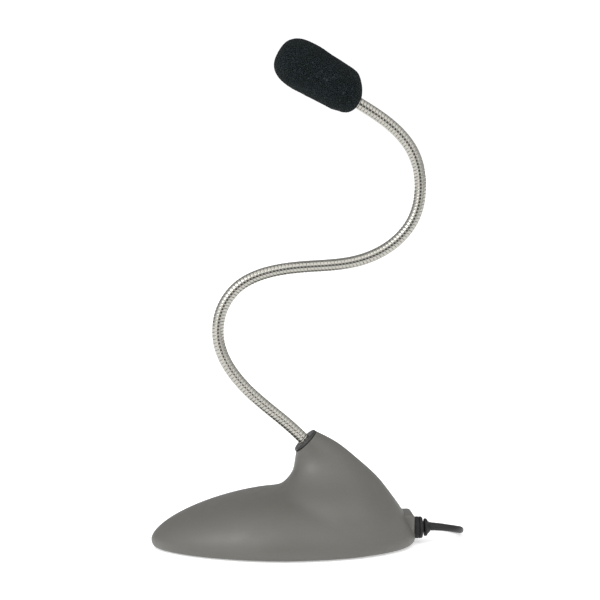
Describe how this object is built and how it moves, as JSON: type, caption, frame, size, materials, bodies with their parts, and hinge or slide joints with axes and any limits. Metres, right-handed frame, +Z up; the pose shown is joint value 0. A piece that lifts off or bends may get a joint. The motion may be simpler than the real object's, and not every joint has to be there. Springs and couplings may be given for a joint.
{
  "type": "desktop microphone",
  "caption": "Desktop microphone: foam-covered head on a bendable steel gooseneck, on a weighted teardrop base with a fin, with a corded jack plug.",
  "frame": {"origin": "on the surface the microphone stands on, under the middle of the box round the object without its free cord", "axes": "+Z up, +X towards the tail where the cord leaves, -X towards the pointed nose; the gooseneck is bent in the plane Y = 0"},
  "size_m": [0.161, 0.1452, 0.2541],
  "materials": {
    "shell_plastic": "fine matt moulded, grey-taupe",
    "black_plastic": "satin moulded, black",
    "neck_steel": "wound steel tube, satin nickel",
    "zinc_steel": "zinc plated",
    "ballast_iron": "as cast",
    "black_rubber": "matt",
    "black_foam": "open-cell foam",
    "cable_jacket": "satin PVC",
    "plug_contact": "nickel plated"
  },
  "bodies": {
    "base": {"base_shell": "shell_plastic", "base_plate": "shell_plastic", "ballast_weight": "ballast_iron", "case_screw_1": "zinc_steel", "case_screw_2": "zinc_steel", "case_screw_3": "zinc_steel", "case_screw_4": "zinc_steel", "foot_1": "black_rubber", "foot_2": "black_rubber", "foot_3": "black_rubber", "foot_4": "black_rubber", "collar": "black_plastic", "neck_ferrule": "zinc_steel", "neck_nut": "zinc_steel", "cord_clamp": "zinc_steel", "clamp_screw_1": "zinc_steel", "clamp_screw_2": "zinc_steel", "splice_sleeve": "black_plastic", "cord_inner": "cable_jacket", "neck_segment_00": "neck_steel", "signal_lead_00": "cable_jacket", "strain_relief": "black_rubber", "cord_run": "cable_jacket", "cord_coil": "cable_jacket", "cord_tail": "cable_jacket", "cord_tie": "black_plastic", "plug_body": "black_plastic", "plug_sleeve": "plug_contact", "plug_insulator_1": "black_plastic", "plug_ring": "plug_contact", "plug_insulator_2": "black_plastic", "plug_tip": "plug_contact"},
    "neck_01": {"neck_segment_01": "neck_steel", "signal_lead_01": "cable_jacket"},
    "neck_02": {"neck_segment_02": "neck_steel", "signal_lead_02": "cable_jacket"},
    "neck_03": {"neck_segment_03": "neck_steel", "signal_lead_03": "cable_jacket"},
    "neck_04": {"neck_segment_04": "neck_steel", "signal_lead_04": "cable_jacket"},
    "neck_05": {"neck_segment_05": "neck_steel", "signal_lead_05": "cable_jacket"},
    "neck_06": {"neck_segment_06": "neck_steel", "signal_lead_06": "cable_jacket"},
    "neck_07": {"neck_segment_07": "neck_steel", "signal_lead_07": "cable_jacket"},
    "neck_08": {"neck_segment_08": "neck_steel", "signal_lead_08": "cable_jacket"},
    "neck_09": {"neck_segment_09": "neck_steel", "signal_lead_09": "cable_jacket"},
    "head": {"neck_segment_10": "neck_steel", "signal_lead_10": "cable_jacket", "head_ferrule": "zinc_steel", "capsule_housing": "black_plastic", "capsule_sleeve": "black_rubber", "microphone_capsule": "zinc_steel", "housing_cap": "black_plastic"},
    "windscreen": {"windscreen": "black_foam"}
  },
  "joints": [
    {"name": "neck_bend_01", "type": "hinge", "parent": "base", "child": "neck_01", "pos_m": [0.00266, 0, 0.05939], "axis": [0, 1, 0], "range_deg": [-22, 22]},
    {"name": "neck_sway_02", "type": "hinge", "parent": "neck_01", "child": "neck_02", "pos_m": [-0.0185, 0, 0.07779], "axis": [0.6946, 0, 0.7194], "range_deg": [-22, 22]},
    {"name": "neck_bend_03", "type": "hinge", "parent": "neck_02", "child": "neck_03", "pos_m": [-0.03395, 0, 0.10081], "axis": [0, 1, 0], "range_deg": [-22, 22]},
    {"name": "neck_sway_04", "type": "hinge", "parent": "neck_03", "child": "neck_04", "pos_m": [-0.02911, 0, 0.12741], "axis": [0.793, 0, -0.6092], "range_deg": [-22, 22]},
    {"name": "neck_bend_05", "type": "hinge", "parent": "neck_04", "child": "neck_05", "pos_m": [-0.00479, 0, 0.13999], "axis": [0, 1, 0], "range_deg": [-22, 22]},
    {"name": "neck_sway_06", "type": "hinge", "parent": "neck_05", "child": "neck_06", "pos_m": [0.02313, 0, 0.14242], "axis": [0.0861, 0, -0.9963], "range_deg": [-22, 22]},
    {"name": "neck_bend_07", "type": "hinge", "parent": "neck_06", "child": "neck_07", "pos_m": [0.04967, 0, 0.15054], "axis": [0, 1, 0], "range_deg": [-22, 22]},
    {"name": "neck_sway_08", "type": "hinge", "parent": "neck_07", "child": "neck_08", "pos_m": [0.06552, 0, 0.17273], "axis": [0.9805, 0, -0.1966], "range_deg": [-22, 22]},
    {"name": "neck_bend_09", "type": "hinge", "parent": "neck_08", "child": "neck_09", "pos_m": [0.06162, 0, 0.19993], "axis": [0, 1, 0], "range_deg": [-22, 22]},
    {"name": "neck_sway_10", "type": "hinge", "parent": "neck_09", "child": "head", "pos_m": [0.04135, 0, 0.21892], "axis": [0.5377, 0, 0.8432], "range_deg": [-22, 22]},
    {"name": "windscreen_pull", "type": "slide", "parent": "head", "child": "windscreen", "axis": [-0.866, 0, 0.5], "range_m": [0, 0.05]}
  ]
}
